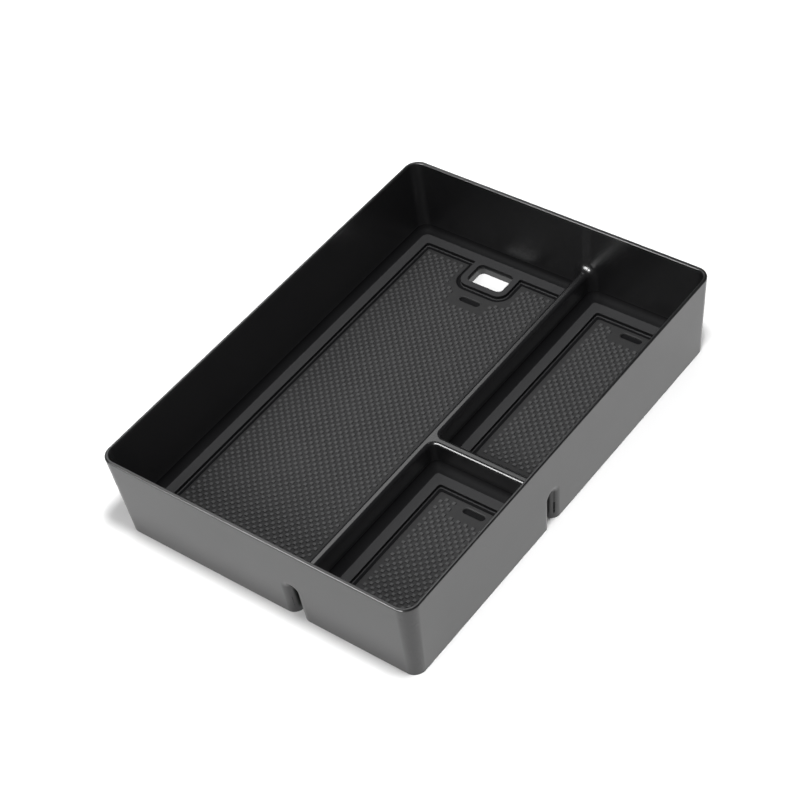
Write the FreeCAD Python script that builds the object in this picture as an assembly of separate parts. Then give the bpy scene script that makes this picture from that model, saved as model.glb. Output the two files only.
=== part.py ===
import FreeCAD, Part
import os

os.makedirs("parts", exist_ok=True)

V = FreeCAD.Vector

# Whole tray, measured at the rim. +Y is the long way, Z is up from the table,
# and the origin is at table level under the middle of the rim.
LENGTH = 300.0
WIDTH = 219.0
HEIGHT = 60.0

# Outer shell: how far each wall leans in on its way down, its thickness at the rim,
# how much more the end walls have at the table, and the corners
SIDE_LEAN = 4.9
END_LEAN = 3.7
RIM_CORNER = 9.3
FOOT_CORNER = 7.0
SIDE_WALL = 2.2
END_WALL = 2.5
END_THICKENING = 0.9
RIM_ROUND = 0.9
INNER_CORNER = 7.4

# Dividers: hollow below, with their middle lines at these places
LONG_DIVIDER_X = 22.5
CROSS_DIVIDER_Y = -17.8
DIVIDER_TOP = 27.0
DIVIDER_WIDTH = 5.8
DIVIDER_FLARE = 0.5
DIVIDER_WALL = 2.1
DIVIDER_ROUND = 2.2
CHANNEL_WIDTH = 2.6
MOUTH_ROUND = 6.2
CORNER_AT_TOP = 4.0
CORNER_AT_FLOOR = 6.8

# Floors: a ledge round each compartment and a recess for its mat
LEDGE_HEIGHT = 7.8
LEDGE_WIDTH = 4.2
MAIN_FOOT_FILLET = 5.0
SMALL_FOOT_FILLET = 6.4
RECESS_DEPTH = 3.0
RECESS_CORNER = 2.0
RECESS_BEVEL = 0.5
FLOOR_THICKNESS = 2.2
RIB_THICKNESS = 2.2
SKIRT_THICKNESS = 2.4
POCKET_CORNER = 4.0

# Cable hole at the back of the main compartment
HOLE_X = -38.7
HOLE_WIDTH = 26.4
HOLE_LENGTH = 16.8
HOLE_CORNER = 3.5
HOLE_FRAME = 4.0
FRAME_CORNER = 6.7

# Loose rubber mats, with a finger slot in each
MAT_THICKNESS = 2.0
MAT_GAP = 3.1
MAT_CORNER = 1.5
MAT_EDGE_BEVEL = 0.4
SLOT_LENGTH = 14.8
SLOT_WIDTH = 4.3
SLOT_INSET = 4.8
MAIN_SLOT_INSET = 7.0
SMALL_SLOT_SHIFT = 1.8

RECESS_FLOOR = LEDGE_HEIGHT - RECESS_DEPTH
POCKET_TOP = RECESS_FLOOR - FLOOR_THICKNESS
RING_TOP = LEDGE_HEIGHT - FLOOR_THICKNESS
CHANNEL_TOP = DIVIDER_TOP - DIVIDER_WALL
OVERRUN = 10.0


class Rect:
    """A level rectangle, by the places of its four sides."""

    def __init__(self, x0, x1, y0, y1):
        self.x0, self.x1, self.y0, self.y1 = x0, x1, y0, y1

    def inset(self, dx, dy=None):
        dy = dx if dy is None else dy
        return Rect(self.x0 + dx, self.x1 - dx, self.y0 + dy, self.y1 - dy)

    def corners(self, z):
        return [V(self.x0, self.y0, z), V(self.x1, self.y0, z), V(self.x1, self.y1, z), V(self.x0, self.y1, z)]

    def middle_x(self):
        return (self.x0 + self.x1) / 2


def frustum(low, high, z0, z1):
    """Solid with flat sides between two level rectangles."""
    lying = Part.makeWedge(low.x0, z0, -low.y1, -high.y1, high.x0, low.x1, z1, -low.y0, -high.y0, high.x1)
    return lying.rotated(V(0, 0, 0), V(1, 0, 0), 90)


def block(rect, z0, z1):
    return frustum(rect, rect, z0, z1)


def ends(edge):
    return edge.Vertexes[0].Point, edge.Vertexes[-1].Point


def upright_edges(shape):
    """Edges that climb from the bottom of a solid to its top."""
    heights = [vertex.Z for vertex in shape.Vertexes]
    climb = max(heights) - min(heights)
    found = []
    for edge in shape.Edges:
        a, b = ends(edge)
        if abs(abs(a.z - b.z) - climb) < 0.01:
            found.append(edge)
    return found


def round_edge(shape, foot, low_radius, high_radius):
    """Round the one upright edge that starts at a given foot point."""
    for edge in upright_edges(shape):
        a, b = ends(edge)
        if a.z < b.z and a.distanceToPoint(foot) < 0.01:
            return shape.makeFillet(low_radius, high_radius, [edge])
        if a.z > b.z and b.distanceToPoint(foot) < 0.01:
            return shape.makeFillet(high_radius, low_radius, [edge])
    raise ValueError("no upright edge at %s" % foot)


def level_edges(shape, z):
    """Edges that lie in the level plane at height z."""
    found = []
    for edge in shape.Edges:
        box = edge.BoundBox
        if abs(box.ZMin - z) < 0.001 and abs(box.ZMax - z) < 0.001:
            found.append(edge)
    return found


def rounded_block(rect, radius, z0, z1):
    solid = block(rect, z0, z1)
    return solid.makeFillet(radius, upright_edges(solid))


RIM = Rect(-WIDTH / 2, WIDTH / 2, -LENGTH / 2, LENGTH / 2)


def wall_outside(z):
    """Outline of the leaning outer wall at height z, without its rounded corners."""
    down = 1 - z / HEIGHT
    return RIM.inset(SIDE_LEAN * down, END_LEAN * down)


def divider_half(z):
    """Half the width of a divider at height z."""
    return DIVIDER_WIDTH / 2 + DIVIDER_FLARE * (1 - z / DIVIDER_TOP)


def cavity_outline(z):
    end_wall = END_WALL + END_THICKENING * (1 - z / HEIGHT)
    return wall_outside(z).inset(SIDE_WALL, end_wall)


def compartment(name, z):
    """Room between the outer wall and the dividers at height z."""
    room = cavity_outline(z)
    half = divider_half(z)
    if name == "main":
        return Rect(room.x0, LONG_DIVIDER_X - half, room.y0, room.y1)
    if name == "far":
        return Rect(LONG_DIVIDER_X + half, room.x1, CROSS_DIVIDER_Y + half, room.y1)
    return Rect(LONG_DIVIDER_X + half, room.x1, room.y0, CROSS_DIVIDER_Y - half)


def foot_fillet(name):
    return MAIN_FOOT_FILLET if name == "main" else SMALL_FOOT_FILLET


def ledge_outline(name):
    """Outer edge of the flat ledge, where the rounded foot of the walls ends."""
    return compartment(name, LEDGE_HEIGHT).inset(foot_fillet(name))


def recess_outline(name):
    return ledge_outline(name).inset(LEDGE_WIDTH)


HOLE_BACK = recess_outline("main").y1
HOLE = Rect(HOLE_X - HOLE_WIDTH / 2, HOLE_X + HOLE_WIDTH / 2, HOLE_BACK - HOLE_LENGTH, HOLE_BACK)
HOLE_SURROUND = Rect(HOLE.x0 - HOLE_FRAME, HOLE.x1 + HOLE_FRAME, HOLE.y0 - HOLE_FRAME, HOLE.y1 + OVERRUN)


def rounded_outline(rect, radius, z):
    """Closed level outline with round corners, as the bottom wire of a thin block."""
    solid = rounded_block(rect, radius, z, z + 1)
    return Part.Wire(Part.__sortEdges__(level_edges(solid, z)))


def outer_body():
    """The outside of the tray, still solid, with the leaning walls and rounded corners.

    The flat faces of the loft are made again as planes, which keeps later rounds simple.
    """
    foot = rounded_outline(wall_outside(0), FOOT_CORNER, 0)
    rim = rounded_outline(RIM, RIM_CORNER, HEIGHT)
    faces = []
    for face in Part.makeLoft([foot, rim], True, True).Faces:
        plane = face.findPlane()
        faces.append(Part.Face(plane, face.OuterWire) if plane else face)
    return Part.makeSolid(Part.makeShell(faces))


def channel(along_y, start, finish, middle):
    """Slot under a divider, open below, with a round roof."""
    half = CHANNEL_WIDTH / 2
    spring = CHANNEL_TOP - half
    points = [(-half, -OVERRUN), (-half, spring), (0, CHANNEL_TOP), (half, spring), (half, -OVERRUN)]
    if along_y:
        p = [V(middle + a, start, z) for a, z in points]
        sweep = V(0, finish - start, 0)
    else:
        p = [V(start, middle + a, z) for a, z in points]
        sweep = V(finish - start, 0, 0)
    roof = Part.Arc(p[1], p[2], p[3]).toShape()
    sides = [Part.makeLine(p[0], p[1]), roof, Part.makeLine(p[3], p[4]), Part.makeLine(p[4], p[0])]
    return Part.Face(Part.Wire(sides)).extrude(sweep)


def mouth_edges(body):
    """Edges where the channels break out through the front, back and right walls."""
    reach = CHANNEL_WIDTH / 2 + 0.01
    foot = wall_outside(0)
    found = []
    for edge in body.Edges:
        box = edge.BoundBox
        if box.ZLength < 0.5 * CHANNEL_WIDTH - 0.1:
            continue
        on_long = abs(box.Center.x - LONG_DIVIDER_X) < reach and box.XLength < CHANNEL_WIDTH + 0.01
        on_cross = abs(box.Center.y - CROSS_DIVIDER_Y) < reach and box.YLength < CHANNEL_WIDTH + 0.01
        at_end = box.YMin > foot.y1 - 0.01 or box.YMax < foot.y0 + 0.01
        at_side = box.XMin > foot.x1 - 0.01
        if (on_long and at_end) or (on_cross and at_side):
            found.append(edge)
    return found


def channelled_body():
    """Outside of the tray with the hollow of the dividers and their rounded mouths."""
    body = outer_body()
    reach = LENGTH / 2 + OVERRUN
    body = body.cut(channel(True, -reach, reach, LONG_DIVIDER_X))
    body = body.cut(channel(False, LONG_DIVIDER_X, reach, CROSS_DIVIDER_Y))
    return body.makeFillet(MOUTH_ROUND, mouth_edges(body))


def divider_bars():
    """Both dividers as solid bars that run on past the walls, rounded on top."""
    low = divider_half(0)
    high = divider_half(DIVIDER_TOP)
    reach = LENGTH / 2 + OVERRUN

    def bars(half):
        long_bar = Rect(LONG_DIVIDER_X - half, LONG_DIVIDER_X + half, -reach, reach)
        cross_bar = Rect(LONG_DIVIDER_X, reach, CROSS_DIVIDER_Y - half, CROSS_DIVIDER_Y + half)
        return long_bar, cross_bar

    low_long, low_cross = bars(low)
    high_long, high_cross = bars(high)
    tee = frustum(low_long, high_long, 0, DIVIDER_TOP)
    tee = tee.fuse(frustum(low_cross, high_cross, 0, DIVIDER_TOP)).removeSplitter()

    for side in (-low, low):
        corner = V(LONG_DIVIDER_X + low, CROSS_DIVIDER_Y + side, 0)
        tee = round_edge(tee, corner, CORNER_AT_FLOOR, CORNER_AT_TOP)

    crest = []
    for edge in level_edges(tee, DIVIDER_TOP):
        box = edge.BoundBox
        at_end = box.YMin > reach - 0.01 or box.YMax < -reach + 0.01 or box.XMin > reach - 0.01
        if not at_end:
            crest.append(edge)
    return tee.makeFillet(DIVIDER_ROUND, crest)


def junction_edges(space):
    """Edges of the inside space where a divider runs into an outer wall."""
    room = cavity_outline(DIVIDER_TOP)
    floor_room = cavity_outline(LEDGE_HEIGHT)
    half = divider_half(LEDGE_HEIGHT) + 0.01
    found = []
    for edge in space.Edges:
        box = edge.BoundBox
        if box.ZMax > DIVIDER_TOP + 0.01 or box.ZMax < LEDGE_HEIGHT + 1:
            continue
        on_long = abs(box.XMin - LONG_DIVIDER_X) < half and abs(box.XMax - LONG_DIVIDER_X) < half
        on_cross = abs(box.YMin - CROSS_DIVIDER_Y) < half and abs(box.YMax - CROSS_DIVIDER_Y) < half
        at_end = box.YMin > floor_room.y1 - 0.01 or box.YMax < floor_room.y0 + 0.01
        at_side = box.XMin > floor_room.x1 - 0.01 and box.XMax < room.x1 + 0.01
        if (on_long and at_end) or (on_cross and at_side):
            found.append(edge)
    return found


def inside_space():
    """The open inside above the ledges, with every inner corner rounded."""
    low = cavity_outline(LEDGE_HEIGHT)
    space = frustum(low, cavity_outline(HEIGHT), LEDGE_HEIGHT, HEIGHT)
    space = space.makeFillet(INNER_CORNER, upright_edges(space))
    space = space.cut(divider_bars())
    space = space.makeFillet(CORNER_AT_FLOOR, junction_edges(space))
    for name in ("main", "far", "near"):
        edges = []
        room = compartment(name, LEDGE_HEIGHT).inset(-0.01)
        for edge in level_edges(space, LEDGE_HEIGHT):
            box = edge.BoundBox
            inside_x = box.XMin > room.x0 and box.XMax < room.x1
            inside_y = box.YMin > room.y0 and box.YMax < room.y1
            if inside_x and inside_y:
                edges.append(edge)
        space = space.makeFillet(foot_fillet(name), edges)
    return space


def mat_recess(name):
    """Sunk floor for one mat, with a small bevel at its foot."""
    room = recess_outline(name)
    solid = rounded_block(room, RECESS_CORNER, RECESS_FLOOR, LEDGE_HEIGHT + 1)
    if name == "main":
        solid = solid.cut(hole_frame(0))
    return solid.makeChamfer(RECESS_BEVEL, level_edges(solid, RECESS_FLOOR))


def hole_frame(grow):
    """Block of the raised frame round the cable hole, grown sideways by a gap."""
    frame = HOLE_SURROUND.inset(-grow)
    solid = block(frame, 0, LEDGE_HEIGHT + 2)
    front = [e for e in upright_edges(solid) if ends(e)[0].y < HOLE.y0]
    return solid.makeFillet(FRAME_CORNER + grow, front)


def skirt_room(name):
    """Space inside the skirt of one compartment at table level."""
    foot = wall_outside(0).inset(SKIRT_THICKNESS)
    half = CHANNEL_WIDTH / 2 + DIVIDER_WALL
    if name == "main":
        return Rect(foot.x0, LONG_DIVIDER_X - half, foot.y0, foot.y1)
    if name == "far":
        return Rect(LONG_DIVIDER_X + half, foot.x1, CROSS_DIVIDER_Y + half, foot.y1)
    return Rect(LONG_DIVIDER_X + half, foot.x1, foot.y0, CROSS_DIVIDER_Y - half)


def underside_pocket(name):
    """Hollow below one floor, deeper under the ledge, so that the wall stays even."""
    room = skirt_room(name)
    flat = rounded_block(room, POCKET_CORNER, -1, POCKET_TOP)
    ring = rounded_block(room, POCKET_CORNER, -1, RING_TOP)
    recess = recess_outline(name).inset(-RIB_THICKNESS)
    ring = ring.cut(rounded_block(recess, RECESS_CORNER + RIB_THICKNESS, -2, HEIGHT))
    pocket = flat.fuse(ring)
    if name == "main":
        collar = HOLE.inset(-RIB_THICKNESS)
        pocket = pocket.cut(rounded_block(collar, HOLE_CORNER + RIB_THICKNESS, -2, HEIGHT))
    return pocket


def make_tray():
    tray = channelled_body().cut(inside_space())
    for name in ("main", "far", "near"):
        tray = tray.cut(mat_recess(name))
        tray = tray.cut(underside_pocket(name))
    tray = tray.cut(rounded_block(HOLE, HOLE_CORNER, -1, HEIGHT))
    return tray.makeFillet(RIM_ROUND, level_edges(tray, HEIGHT))


def finger_slot(middle_x, middle_y):
    rect = Rect(middle_x - SLOT_LENGTH / 2, middle_x + SLOT_LENGTH / 2,
                middle_y - SLOT_WIDTH / 2, middle_y + SLOT_WIDTH / 2)
    return rounded_block(rect, SLOT_WIDTH / 2 - 0.01, 0, HEIGHT)


def make_mat(name):
    """Loose mat that lies in its recess, with a gap all round."""
    top = RECESS_FLOOR + MAT_THICKNESS
    outline = recess_outline(name).inset(MAT_GAP)
    mat = rounded_block(outline, MAT_CORNER, RECESS_FLOOR, top)
    if name == "main":
        mat = mat.cut(hole_frame(MAT_GAP))
        slot_x = HOLE_X
        slot_y = HOLE_SURROUND.y0 - MAT_GAP - MAIN_SLOT_INSET
    else:
        slot_x = outline.middle_x() + SMALL_SLOT_SHIFT
        slot_y = outline.y1 - SLOT_INSET
    mat = mat.cut(finger_slot(slot_x, slot_y))
    return mat.makeChamfer(MAT_EDGE_BEVEL, level_edges(mat, top))


def export(name, shape):
    solid = shape.Solids[0]
    print(name, len(shape.Solids), solid.isValid(), round(solid.Volume))
    solid.exportStep("parts/%s.step" % name)


export("tray", make_tray())
for name in ("main", "far", "near"):
    export("mat_" + name, make_mat(name))
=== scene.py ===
import math

import bmesh
import bpy
from mathutils import Euler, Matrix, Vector


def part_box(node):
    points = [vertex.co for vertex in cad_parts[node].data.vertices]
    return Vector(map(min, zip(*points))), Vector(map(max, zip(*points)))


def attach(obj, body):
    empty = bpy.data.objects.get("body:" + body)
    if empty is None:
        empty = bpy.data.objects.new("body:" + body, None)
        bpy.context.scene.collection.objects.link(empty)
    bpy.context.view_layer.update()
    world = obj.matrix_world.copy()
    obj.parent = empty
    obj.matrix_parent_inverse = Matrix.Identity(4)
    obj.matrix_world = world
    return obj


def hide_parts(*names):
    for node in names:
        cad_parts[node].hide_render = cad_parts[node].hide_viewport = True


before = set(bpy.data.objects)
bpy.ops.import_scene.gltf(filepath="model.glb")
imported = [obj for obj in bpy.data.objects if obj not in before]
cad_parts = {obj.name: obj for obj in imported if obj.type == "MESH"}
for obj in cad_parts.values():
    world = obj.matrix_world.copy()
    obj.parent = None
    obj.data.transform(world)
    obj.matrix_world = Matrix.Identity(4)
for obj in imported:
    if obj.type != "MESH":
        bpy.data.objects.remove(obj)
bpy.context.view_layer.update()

# Tray: one thin shell of black ABS, injection moulded with draft on every wall. The tool
# is polished outside, plainer inside, and matt at the floors. The tray stands on the rims
# of its skirts, and nothing is fixed to it. The source has its shape; here it is finished.


class Term:
    """One output of a node, which takes part in Python sums. Each sum adds a Math node."""

    def __init__(self, graph, socket):
        self.graph = graph
        self.socket = socket

    def pick(self, name):
        """Another output of the same node."""
        return Term(self.graph, self.socket.node.outputs[name])

    def math(self, operation, a, b=0.0):
        return self.graph.node("ShaderNodeMath", {"operation": operation}, {0: a, 1: b})

    def __add__(self, other):
        return self.math("ADD", self, other)

    def __sub__(self, other):
        return self.math("SUBTRACT", self, other)

    def __rsub__(self, other):
        return self.math("SUBTRACT", other, self)

    def __mul__(self, other):
        return self.math("MULTIPLY", self, other)

    def __gt__(self, other):
        return self.math("GREATER_THAN", self, other)

    def __lt__(self, other):
        return self.math("LESS_THAN", self, other)

    __radd__ = __add__
    __rmul__ = __mul__

    def larger(self, other):
        return self.math("MAXIMUM", self, other)


class Graph:
    """A node tree that is being built, for a material or for a shape."""

    def __init__(self, tree):
        self.tree = tree
        tree.nodes.clear()

    def node(self, kind, settings=None, inputs=None, output=0):
        """Adds one node: its settings first, then the values or links of its sockets."""
        made = self.tree.nodes.new(kind)
        for name, value in (settings or {}).items():
            setattr(made, name, value)
        for key, value in (inputs or {}).items():
            if isinstance(value, Term):
                self.tree.links.new(value.socket, made.inputs[key])
            else:
                made.inputs[key].default_value = value
        return Term(self, made.outputs[output]) if len(made.outputs) else made

    def blend_colours(self, factor, first, second):
        inputs = {0: factor, 6: first, 7: second}
        return self.node("ShaderNodeMix", {"data_type": "RGBA"}, inputs, output=2)

    def mottle(self, place, size, detail=2.0):
        """Soft noise from 0 to 1 whose patches are about that size, in metres."""
        return self.node("ShaderNodeTexNoise", None, {"Vector": place, "Scale": 1 / size, "Detail": detail})


def grey(level):
    return (level, level, level, 1.0)


def new_material(name):
    material = bpy.data.materials.new(name)
    material.use_nodes = True
    return material, Graph(material.node_tree)


def moulded_plastic():
    """Black plastic with handling smudges: glossy outside, satin inside, matt at the floors.

    The ledges and the bevels at the recess floors are painted a paler black. This is painted light: the lit
    tone of the level ledges, and a painted highlight along the foot of each recess.
    The zones are told apart by height and by distance from the middle of the tray.
    """
    black = (0.005, 0.005, 0.0055, 1.0)
    worn_black = (0.008, 0.008, 0.0085, 1.0)
    # Painted light: this paler black stands in for the light on the ledges and for the highlight line at
    # the recess bevels
    painted_light_black = (0.034, 0.034, 0.035, 1.0)
    smudge_size = 0.035
    flow_size = 0.0012
    flow_depth = 0.00003
    satin_inside = 0.8
    ledge_height = 0.0078
    floor_height = 0.0048
    slack = 0.0003
    bevel_start = 0.00003
    bevel_end = 0.00055
    foot_height = 0.014
    rim_height = 0.058
    side_wall = 0.1035
    side_slope = 0.082
    end_wall = 0.1445
    end_slope = 0.069
    corner = 0.2439
    corner_slope = 0.14
    dividers_cross = (0.0225, -0.0178, 0.0)
    channel_half = 0.0031
    material, graph = new_material("moulded_black_plastic")
    place = graph.node("ShaderNodeTexCoord").pick("Object")
    smudge = graph.mottle(place, smudge_size, 4.0)
    flow = graph.mottle(place, flow_size)
    apart = graph.node("ShaderNodeVectorMath", {"operation": "ABSOLUTE"}, {0: place})
    apart = graph.node("ShaderNodeSeparateXYZ", None, {0: apart})
    height = apart.pick("Z")
    on_ledge = (height > ledge_height - slack) * (height < ledge_height + slack)
    on_bevel = (height > floor_height + bevel_start) * (height < floor_height + bevel_end)
    between_sides = apart.pick("X") - side_slope * height < side_wall
    between_ends = apart.pick("Y") - end_slope * height < end_wall
    between_corners = apart.pick("X") + apart.pick("Y") - corner_slope * height < corner
    inside = between_sides * between_ends * between_corners
    inside = inside * (height < rim_height) * (height > floor_height - slack)
    across = graph.node("ShaderNodeVectorMath", {"operation": "SUBTRACT"}, {0: place, 1: dividers_cross})
    right_of_long = graph.node("ShaderNodeSeparateXYZ", None, {0: across}) > 0.0
    across = graph.node("ShaderNodeVectorMath", {"operation": "ABSOLUTE"}, {0: across})
    across = graph.node("ShaderNodeSeparateXYZ", None, {0: across})
    in_channel = (across < channel_half).larger((across.pick("Y") < channel_half) * right_of_long)
    inside = inside * (1 - in_channel)
    # Where the painted light goes: the ledges and the bevels at the recess floors, inside the tray
    painted_light_zone = on_ledge.larger(on_bevel) * inside
    colour = graph.blend_colours(smudge, black, worn_black)
    colour = graph.blend_colours(painted_light_zone, colour, painted_light_black)
    skin = graph.node("ShaderNodeBump", None, {"Strength": 0.12, "Distance": flow_depth, "Height": flow})
    moulded = graph.node("ShaderNodeBsdfPrincipled", None, {
        "Base Color": colour, "Roughness": 0.24 + 0.1 * smudge + 0.03 * flow, "IOR": 1.5, "Normal": skin,
        "Coat Weight": 1 - satin_inside * inside, "Coat Roughness": 0.2, "Coat IOR": 1.5,
    })
    matt = graph.node("ShaderNodeBsdfPrincipled", None, {
        "Base Color": colour, "Roughness": 0.6 + 0.15 * smudge, "Specular IOR Level": 0.1, "Normal": skin,
    })
    near_floor = (height < foot_height) * inside
    shader = graph.node("ShaderNodeMixShader", None, {0: near_floor, 1: moulded, 2: matt})
    graph.node("ShaderNodeOutputMaterial", None, {"Surface": shader})
    return material


MERGE_DISTANCE = 2e-6
SMOOTH_ANGLE = 32


def joined_copy(node, name):
    """A CAD node's mesh with its loose triangles joined into one skin, as a new object."""
    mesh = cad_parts[node].data.copy()
    mesh.name = name
    skin = bmesh.new()
    skin.from_mesh(mesh)
    bmesh.ops.remove_doubles(skin, verts=skin.verts, dist=MERGE_DISTANCE)
    skin.to_mesh(mesh)
    skin.free()
    mesh.materials.clear()
    mesh.attributes.remove(mesh.attributes["custom_normal"])
    made = bpy.data.objects.new(name, mesh)
    bpy.context.collection.objects.link(made)
    return made


def shade_by_angle(piece):
    """Rounded stretches shade smoothly, large flats stay flat and true edges stay sharp."""
    piece.data.shade_smooth()
    piece.data.set_sharp_from_angle(angle=math.radians(SMOOTH_ANGLE))
    weighted = piece.modifiers.new("even_shading", "WEIGHTED_NORMAL")
    weighted.keep_sharp = True


tray = joined_copy("tray", "console_tray")
tray.data.materials.append(moulded_plastic())
shade_by_angle(tray)
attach(tray, "root")
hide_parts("tray")

# Mats: three sheets of soft black rubber, compression moulded with a chequer of small
# raised pads for grip. A plain margin runs round each sheet, and the place round its
# finger slot is plain too. They lie loose in the recesses of the tray.

PAD_PITCH = 0.00255
PAD_WIDTH = 0.0023
PAD_TOP = 0.0018
PAD_HEIGHT = 0.0007
MARGIN = 0.0012

# Where the finger slots and the frame of the cable hole lie, and how far from their
# middles the sheets are plain
LONG_SLOT = Vector((-0.0387, 0.1034, 0))
FAR_SLOT = Vector((0.0662, 0.1250, 0))
NEAR_SLOT = Vector((0.0662, -0.03956, 0))
HOLE_FRAME = Vector((-0.0387, 0.1273, 0))
PLAIN_AT_LONG_SLOT = Vector((0.0145, 0.0085, 1))
PLAIN_AT_SHORT_SLOT = Vector((0.0125, 0.008, 1))
PLAIN_AT_FRAME = Vector((0.0235, 0.0193, 1))
NOWHERE = Vector()


def mat_rubber():
    """Matt black rubber with a fine grain and a little dust. The pad tops are paler, which is painted light
    on the raised tops.
    """
    dark = (0.016, 0.016, 0.0165, 1.0)
    dusty = (0.028, 0.028, 0.0285, 1.0)
    # Painted light: the paler tone of the pad tops stands in for the light on them, with the sheet between
    # them left in their shade
    painted_lit_tops = (0.05, 0.05, 0.051, 1.0)
    sheet_top = 0.0063
    dust_size = 0.02
    grain_size = 0.00035
    grain_depth = 0.00008
    material, graph = new_material("mat_rubber")
    place = graph.node("ShaderNodeTexCoord").pick("Object")
    dust = graph.mottle(place, dust_size, 5.0)
    grain = graph.mottle(place, grain_size, 3.0)
    height = graph.node("ShaderNodeSeparateXYZ", None, {0: place}).pick("Z")
    colour = graph.blend_colours(dust, dark, dusty)
    # The pad tops, above the sheet, get the painted light
    colour = graph.blend_colours(height > sheet_top, colour, painted_lit_tops)
    roughness = 0.58 + 0.14 * grain
    skin = graph.node("ShaderNodeBump", None, {"Strength": 0.35, "Distance": grain_depth, "Height": grain})
    shader = graph.node("ShaderNodeBsdfPrincipled", None, {
        "Base Color": colour, "Roughness": roughness, "IOR": 1.5, "Normal": skin,
    })
    graph.node("ShaderNodeOutputMaterial", None, {"Surface": shader})
    return material


def beyond(graph, place, centre, half):
    """How far a point lies outside a level rectangle. It is negative inside."""
    apart = graph.node("ShaderNodeVectorMath", {"operation": "SUBTRACT"}, {0: place, 1: centre})
    apart = graph.node("ShaderNodeVectorMath", {"operation": "ABSOLUTE"}, {0: apart})
    apart = graph.node("ShaderNodeVectorMath", {"operation": "SUBTRACT"}, {0: apart, 1: half})
    sides = graph.node("ShaderNodeSeparateXYZ", None, {0: apart})
    return sides.pick("X").larger(sides.pick("Y"))


def pad_tree():
    """Shape tree that sets small raised pads in a chequer on a sheet, clear of two rectangles."""
    tree = bpy.data.node_groups.new("chequer_of_pads", "GeometryNodeTree")
    graph = Graph(tree)
    sizes = [
        ("Sheet", "NodeSocketGeometry"), ("Pitch", "NodeSocketFloat"), ("Rows", "NodeSocketInt"),
        ("Pad Width", "NodeSocketFloat"), ("Pad Top", "NodeSocketFloat"), ("Pad Height", "NodeSocketFloat"),
        ("Field Centre", "NodeSocketVector"), ("Field Half", "NodeSocketVector"),
        ("Slot Centre", "NodeSocketVector"), ("Slot Half", "NodeSocketVector"),
        ("Frame Centre", "NodeSocketVector"), ("Frame Half", "NodeSocketVector"),
        ("Rubber", "NodeSocketMaterial"),
    ]
    for name, kind in sizes:
        tree.interface.new_socket(name, in_out="INPUT", socket_type=kind)
    tree.interface.new_socket("Mat", in_out="OUTPUT", socket_type="NodeSocketGeometry")
    given = graph.node("NodeGroupInput")
    quarter_turn = math.pi / 4

    step = given.pick("Pitch") * math.sqrt(2)
    rows = given.pick("Rows")
    span = step * (rows - 1)
    lattice = graph.node("GeometryNodeMeshGrid", None, {
        "Size X": span, "Size Y": span, "Vertices X": rows, "Vertices Y": rows,
    })
    lattice = graph.node("GeometryNodeTransform", None, {
        "Geometry": lattice, "Translation": given.pick("Field Centre"), "Rotation": (0, 0, quarter_turn),
    })
    place = graph.node("GeometryNodeInputPosition")
    outside = beyond(graph, place, given.pick("Field Centre"), given.pick("Field Half"))
    from_slot = beyond(graph, place, given.pick("Slot Centre"), given.pick("Slot Half"))
    from_frame = beyond(graph, place, given.pick("Frame Centre"), given.pick("Frame Half"))
    unwanted = (outside > 0.0).larger(from_slot < 0.0).larger(from_frame < 0.0)
    lattice = graph.node("GeometryNodeDeleteGeometry", None, {"Geometry": lattice, "Selection": unwanted})

    half_diagonal = 1 / math.sqrt(2)
    pad = graph.node("GeometryNodeMeshCone", None, {
        "Vertices": 4, "Radius Bottom": given.pick("Pad Width") * half_diagonal,
        "Radius Top": given.pick("Pad Top") * half_diagonal, "Depth": given.pick("Pad Height"),
    })
    pad = graph.node("GeometryNodeTransform", None, {"Geometry": pad, "Rotation": (0, 0, quarter_turn)})
    pads = graph.node("GeometryNodeInstanceOnPoints", None, {"Points": lattice, "Instance": pad})
    pads = graph.node("GeometryNodeRealizeInstances", None, {"Geometry": pads})
    both = graph.node("GeometryNodeJoinGeometry", None, {"Geometry": given.pick("Sheet")})
    tree.links.new(pads.socket, both.socket.node.inputs["Geometry"])
    rubber = given.pick("Rubber")
    finished = graph.node("GeometryNodeSetMaterial", None, {"Geometry": both, "Material": rubber})
    graph.node("NodeGroupOutput", None, {0: finished})
    return tree


def squash_to(piece, low, thickness, new_thickness):
    """Thins a flat sheet from its top, so that the pads end where the solid's top was."""
    for vertex in piece.data.vertices:
        vertex.co.z = low + (vertex.co.z - low) * new_thickness / thickness


def make_mat(node, name, slot_centre, slot_half, frame_centre=NOWHERE, frame_half=NOWHERE):
    """One mat: the sheet of its CAD node, with pads on it except at the slot and the frame."""
    low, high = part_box(node)
    centre = (low + high) / 2
    half = (high - low) / 2
    sheet = joined_copy(node, name)
    squash_to(sheet, low.z, high.z - low.z, high.z - low.z - PAD_HEIGHT)
    level = Vector((0, 0, high.z - PAD_HEIGHT - centre.z))
    margin = MARGIN + PAD_WIDTH / 2
    rows = 2 * math.ceil((half.x + half.y) / (2 * PAD_PITCH)) + 1

    modifier = sheet.modifiers.new("pads", "NODES")
    modifier.node_group = PADS
    values = {
        "Pitch": PAD_PITCH, "Rows": rows, "Pad Width": PAD_WIDTH, "Pad Top": PAD_TOP,
        "Pad Height": PAD_HEIGHT, "Field Centre": centre + level,
        "Field Half": half - Vector((margin, margin, 0)),
        "Slot Centre": slot_centre, "Slot Half": slot_half,
        "Frame Centre": frame_centre, "Frame Half": frame_half, "Rubber": RUBBER,
    }
    for item in PADS.interface.items_tree:
        if item.in_out == "INPUT" and item.name in values:
            modifier[item.identifier] = values[item.name]
    evaluated = sheet.evaluated_get(bpy.context.evaluated_depsgraph_get())
    mesh = bpy.data.meshes.new_from_object(evaluated)
    sheet.modifiers.clear()
    sheet.data = mesh
    return sheet


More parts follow.
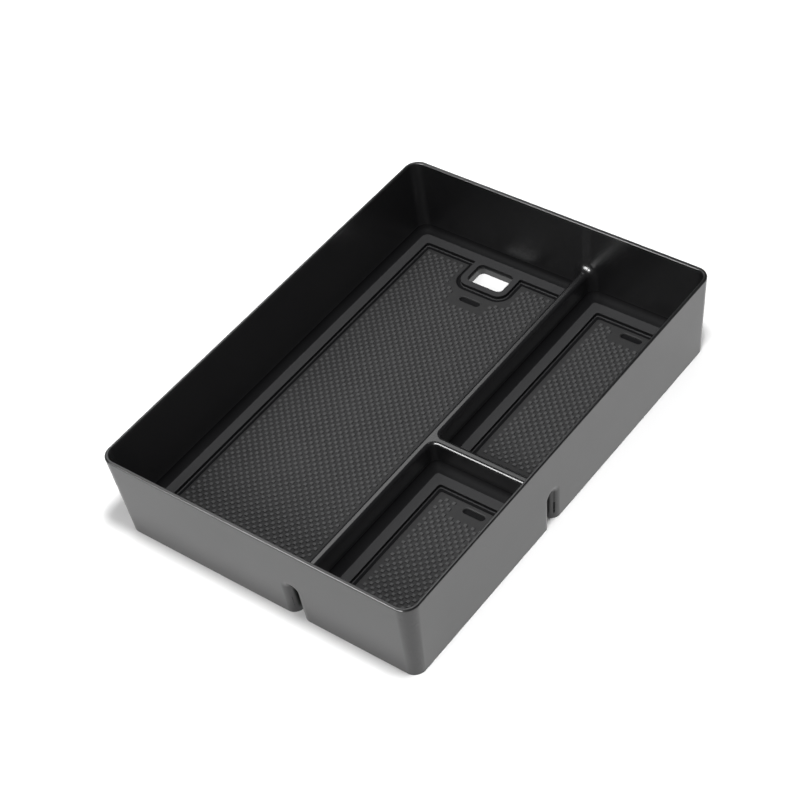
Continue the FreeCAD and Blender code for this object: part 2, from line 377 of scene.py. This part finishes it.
PADS = pad_tree()
RUBBER = mat_rubber()
main_mat = make_mat("mat_main", "mat_main_padded", LONG_SLOT, PLAIN_AT_LONG_SLOT,
                    HOLE_FRAME, PLAIN_AT_FRAME)
far_mat = make_mat("mat_far", "mat_far_padded", FAR_SLOT, PLAIN_AT_SHORT_SLOT)
near_mat = make_mat("mat_near", "mat_near_padded", NEAR_SLOT, PLAIN_AT_SHORT_SLOT)
for mat, node in ((main_mat, "mat_main"), (far_mat, "mat_far"), (near_mat, "mat_near")):
    shade_by_angle(mat)
    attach(mat, "root")
    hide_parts(node)

# Studio: a white sweep that the tray stands on, a white dome, a strong lamp overhead and
# softboxes that draw the highlights on the rims. The sweep looks pure white from a step
# away, and close to the tray it keeps the soft shadow.


def white_sweep():
    """Matt white. It glows evenly in reflections, and to the eye a step away from the tray."""
    albedo = 0.8
    mirrored_glow = 0.43
    mirrored_share = 0.6
    glow_starts = 0.19
    glow_full = 0.3
    far_glow = 0.6
    material, graph = new_material("white_sweep")
    path = graph.node("ShaderNodeLightPath")
    place = graph.node("ShaderNodeTexCoord").pick("Object")
    apart = graph.node("ShaderNodeVectorMath", {"operation": "LENGTH"}, {0: place}, output=1)
    away = graph.node("ShaderNodeMapRange", None, {
        0: apart, 1: glow_starts, 2: glow_full, 3: 0.0, 4: far_glow,
    })
    lit = graph.node("ShaderNodeBsdfDiffuse", None, {"Color": grey(albedo)})
    glow = graph.node("ShaderNodeEmission", None, {"Color": grey(1.0), "Strength": mirrored_glow})
    share = mirrored_share * path.pick("Is Glossy Ray")
    mirrored = graph.node("ShaderNodeMixShader", None, {0: share, 1: lit, 2: glow})
    to_eye = away * path.pick("Is Camera Ray")
    lift = graph.node("ShaderNodeEmission", None, {"Color": grey(1.0), "Strength": to_eye})
    both = graph.node("ShaderNodeAddShader", None, {0: mirrored, 1: lift})
    graph.node("ShaderNodeOutputMaterial", None, {"Surface": both})
    return material


def white_dome():
    """White to the eye. Reflections see it white at the horizon and dim overhead."""
    horizon_band = 0.12
    overhead_level = 0.03
    lighting_level = 0.4
    world = bpy.data.worlds.new("white_dome")
    world.use_nodes = True
    bpy.context.scene.world = world
    graph = Graph(world.node_tree)
    path = graph.node("ShaderNodeLightPath")
    upward = graph.node("ShaderNodeSeparateXYZ", None, {0: graph.node("ShaderNodeTexCoord")}).pick("Z")
    dim = graph.node("ShaderNodeMapRange", None, {
        0: upward, 1: 0.0, 2: horizon_band, 3: 1.0, 4: overhead_level,
    })
    glossy = path.pick("Is Glossy Ray") * dim
    eye = path.pick("Is Camera Ray").larger(path.pick("Is Transmission Ray"))
    other = 1 - eye.larger(path.pick("Is Glossy Ray"))
    strength = eye + glossy + lighting_level * other
    back = graph.node("ShaderNodeBackground", None, {"Color": grey(1.0), "Strength": strength})
    graph.node("ShaderNodeOutputWorld", None, {"Surface": back})


def softbox(name, direction, distance, size, radiance, mirrored=True, lights=True):
    """A square lamp of a given brightness that faces the tray.

    Without mirrored it shows in no reflection, and without lights it shows in nothing else.
    """
    light = bpy.data.lights.new(name, "AREA")
    light.size = size
    light.energy = radiance * math.pi * size * size
    lamp = bpy.data.objects.new(name, light)
    lamp.location = Vector(direction).normalized() * distance
    lamp.rotation_euler = lamp.location.to_track_quat("Z", "Y").to_euler()
    lamp.visible_glossy = mirrored
    lamp.visible_diffuse = lights
    bpy.context.collection.objects.link(lamp)


SWEEP_SIZE = 12
bpy.ops.mesh.primitive_plane_add(size=SWEEP_SIZE)
sweep = bpy.context.object
sweep.name = "white_sweep"
sweep.data.materials.append(white_sweep())
white_dome()
softbox("overhead", (0.31, -0.12, 1.5), 1.55, 0.25, 125.0, mirrored=False)
softbox("back_left", (-0.51, 0.39, 0.77), 1.4, 0.6, 1.8)
softbox("front_left", (-0.42, -0.78, 0.65), 1.3, 0.5, 15.0, lights=False)
softbox("front", (0.08, -0.78, 0.65), 1.3, 0.4, 24.0, lights=False)
softbox("front_fill", (-0.2, -0.8, 0.6), 1.4, 0.6, 5.0, mirrored=False)

# Camera: a long lens from the front right, at the height and roll of the photograph
camera = bpy.data.objects.new("camera", bpy.data.cameras.new("camera"))
camera.location = (0.60369, -0.64961, 0.91516)
camera.rotation_euler = Euler([math.radians(angle) for angle in (44.716, 6.754, 36.766)])
camera.data.sensor_width = 36.0
camera.data.lens = 96.9
bpy.context.collection.objects.link(camera)
bpy.context.scene.camera = camera
bpy.context.scene.view_settings.view_transform = "Standard"
